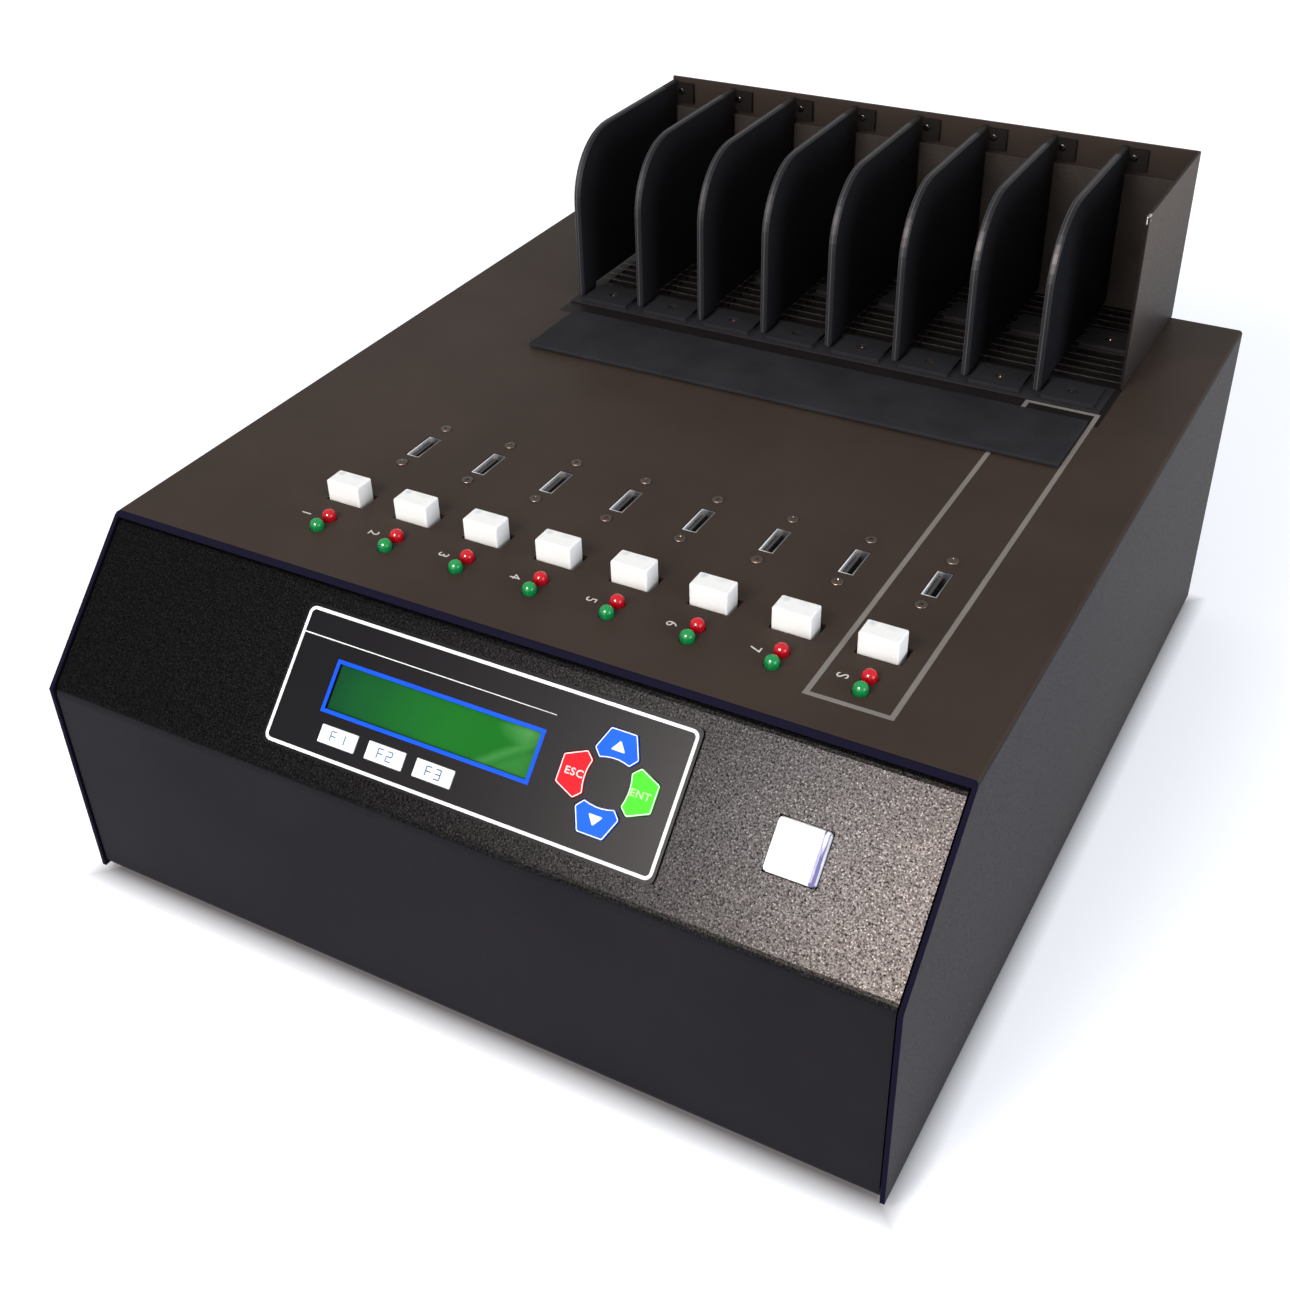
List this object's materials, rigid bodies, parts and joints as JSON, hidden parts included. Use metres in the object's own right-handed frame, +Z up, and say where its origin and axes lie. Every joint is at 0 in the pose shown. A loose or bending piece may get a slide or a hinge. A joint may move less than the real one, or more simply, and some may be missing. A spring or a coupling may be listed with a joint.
{
  "type": "hard drive duplicator",
  "caption": "Desktop drive copier: sloped control panel with display and keys, a row of sockets with power buttons and lamps, and a rack of upright dividers behind.",
  "frame": {"origin": "middle of the machine, from the front of the case to the rear switch, on the plane that the four feet stand on", "axes": "+X to the right of the person who works it, +Y from the control panel to the rear, +Z up"},
  "size_m": [0.32, 0.371, 0.2064],
  "materials": {
    "powder_coat": "warm black powder coat",
    "textured_paint": "black paint with a pebbled, sparkling grain",
    "zinc_plate": "zinc plated",
    "black_plate": "black, satin",
    "black_rubber": "matt",
    "grey_foam": "dark grey foam",
    "white_cap": "white, satin",
    "overlay_film": "printed black film",
    "key_white": "white film",
    "key_blue": "blue film",
    "key_red": "red film",
    "key_green": "green film",
    "display_glass": "green liquid crystal display",
    "circuit_board": "green solder mask",
    "black_plastic": "moulded, fine grain",
    "shell_metal": "nickel plated"
  },
  "bodies": {
    "case": {"wrap_cover": "powder_coat", "rear_panel": "powder_coat", "rack_frame": "powder_coat", "front_bezel": "textured_paint", "base_pan": "zinc_plate", "fan_guard": "zinc_plate", "power_supply": "zinc_plate", "divider_1": "black_plate", "divider_2": "black_plate", "divider_3": "black_plate", "divider_4": "black_plate", "divider_5": "black_plate", "divider_6": "black_plate", "divider_7": "black_plate", "divider_8": "black_plate", "front_pads": "black_rubber", "rear_pads": "black_rubber", "foot_front_left": "black_rubber", "foot_front_right": "black_rubber", "foot_rear_left": "black_rubber", "foot_rear_right": "black_rubber", "back_pad": "grey_foam", "rest_mat": "grey_foam", "control_overlay": "overlay_film", "display_module": "display_glass", "switch_board": "circuit_board", "key_board": "circuit_board", "main_board": "circuit_board", "power_switch_body": "black_plastic", "fan_frame": "black_plastic", "power_inlet": "black_plastic", "port_1": "shell_metal", "port_2": "shell_metal", "port_3": "shell_metal", "port_4": "shell_metal", "port_5": "shell_metal", "port_6": "shell_metal", "port_7": "shell_metal", "port_8": "shell_metal"},
    "drive_button_1": {"drive_button_1": "white_cap"},
    "drive_button_2": {"drive_button_2": "white_cap"},
    "drive_button_3": {"drive_button_3": "white_cap"},
    "drive_button_4": {"drive_button_4": "white_cap"},
    "drive_button_5": {"drive_button_5": "white_cap"},
    "drive_button_6": {"drive_button_6": "white_cap"},
    "drive_button_7": {"drive_button_7": "white_cap"},
    "drive_button_8": {"drive_button_8": "white_cap"},
    "key_f1": {"key_f1": "key_white"},
    "key_f2": {"key_f2": "key_white"},
    "key_f3": {"key_f3": "key_white"},
    "key_up": {"key_up": "key_blue"},
    "key_esc": {"key_esc": "key_red"},
    "key_down": {"key_down": "key_blue"},
    "key_enter": {"key_enter": "key_green"},
    "power_button": {"power_button": "white_cap"},
    "rocker_switch": {"rocker_switch": "black_plastic"},
    "fan_rotor": {"fan_rotor": "black_plastic"}
  },
  "joints": [
    {"name": "drive_button_1_press", "type": "slide", "parent": "case", "child": "drive_button_1", "axis": [0, 0, -1], "range_m": [0, 0.0025], "stiffness_N_per_m": 900},
    {"name": "drive_button_2_press", "type": "slide", "parent": "case", "child": "drive_button_2", "axis": [0, 0, -1], "range_m": [0, 0.0025], "stiffness_N_per_m": 900},
    {"name": "drive_button_3_press", "type": "slide", "parent": "case", "child": "drive_button_3", "axis": [0, 0, -1], "range_m": [0, 0.0025], "stiffness_N_per_m": 900},
    {"name": "drive_button_4_press", "type": "slide", "parent": "case", "child": "drive_button_4", "axis": [0, 0, -1], "range_m": [0, 0.0025], "stiffness_N_per_m": 900},
    {"name": "drive_button_5_press", "type": "slide", "parent": "case", "child": "drive_button_5", "axis": [0, 0, -1], "range_m": [0, 0.0025], "stiffness_N_per_m": 900},
    {"name": "drive_button_6_press", "type": "slide", "parent": "case", "child": "drive_button_6", "axis": [0, 0, -1], "range_m": [0, 0.0025], "stiffness_N_per_m": 900},
    {"name": "drive_button_7_press", "type": "slide", "parent": "case", "child": "drive_button_7", "axis": [0, 0, -1], "range_m": [0, 0.0025], "stiffness_N_per_m": 900},
    {"name": "drive_button_8_press", "type": "slide", "parent": "case", "child": "drive_button_8", "axis": [0, 0, -1], "range_m": [0, 0.0025], "stiffness_N_per_m": 900},
    {"name": "key_f1_press", "type": "slide", "parent": "case", "child": "key_f1", "axis": [0, 0.7041, -0.7101], "range_m": [0, 0.0004], "stiffness_N_per_m": 2500},
    {"name": "key_f2_press", "type": "slide", "parent": "case", "child": "key_f2", "axis": [0, 0.7041, -0.7101], "range_m": [0, 0.0004], "stiffness_N_per_m": 2500},
    {"name": "key_f3_press", "type": "slide", "parent": "case", "child": "key_f3", "axis": [0, 0.7041, -0.7101], "range_m": [0, 0.0004], "stiffness_N_per_m": 2500},
    {"name": "key_up_press", "type": "slide", "parent": "case", "child": "key_up", "axis": [0, 0.7041, -0.7101], "range_m": [0, 0.0004], "stiffness_N_per_m": 2500},
    {"name": "key_esc_press", "type": "slide", "parent": "case", "child": "key_esc", "axis": [0, 0.7041, -0.7101], "range_m": [0, 0.0004], "stiffness_N_per_m": 2500},
    {"name": "key_down_press", "type": "slide", "parent": "case", "child": "key_down", "axis": [0, 0.7041, -0.7101], "range_m": [0, 0.0004], "stiffness_N_per_m": 2500},
    {"name": "key_enter_press", "type": "slide", "parent": "case", "child": "key_enter", "axis": [0, 0.7041, -0.7101], "range_m": [0, 0.0004], "stiffness_N_per_m": 2500},
    {"name": "power_button_press", "type": "slide", "parent": "case", "child": "power_button", "axis": [0, 0.7041, -0.7101], "range_m": [0, 0.0015], "stiffness_N_per_m": 1200},
    {"name": "rocker_tip", "type": "hinge", "parent": "case", "child": "rocker_switch", "pos_m": [0.108, 0.17967, 0.063], "axis": [1, 0, 0], "range_deg": [-14, 0]},
    {"name": "fan_spin", "type": "hinge", "parent": "case", "child": "fan_rotor", "pos_m": [-0.075, 0.15697, 0.06], "axis": [0, 1, 0], "continuous": true}
  ]
}
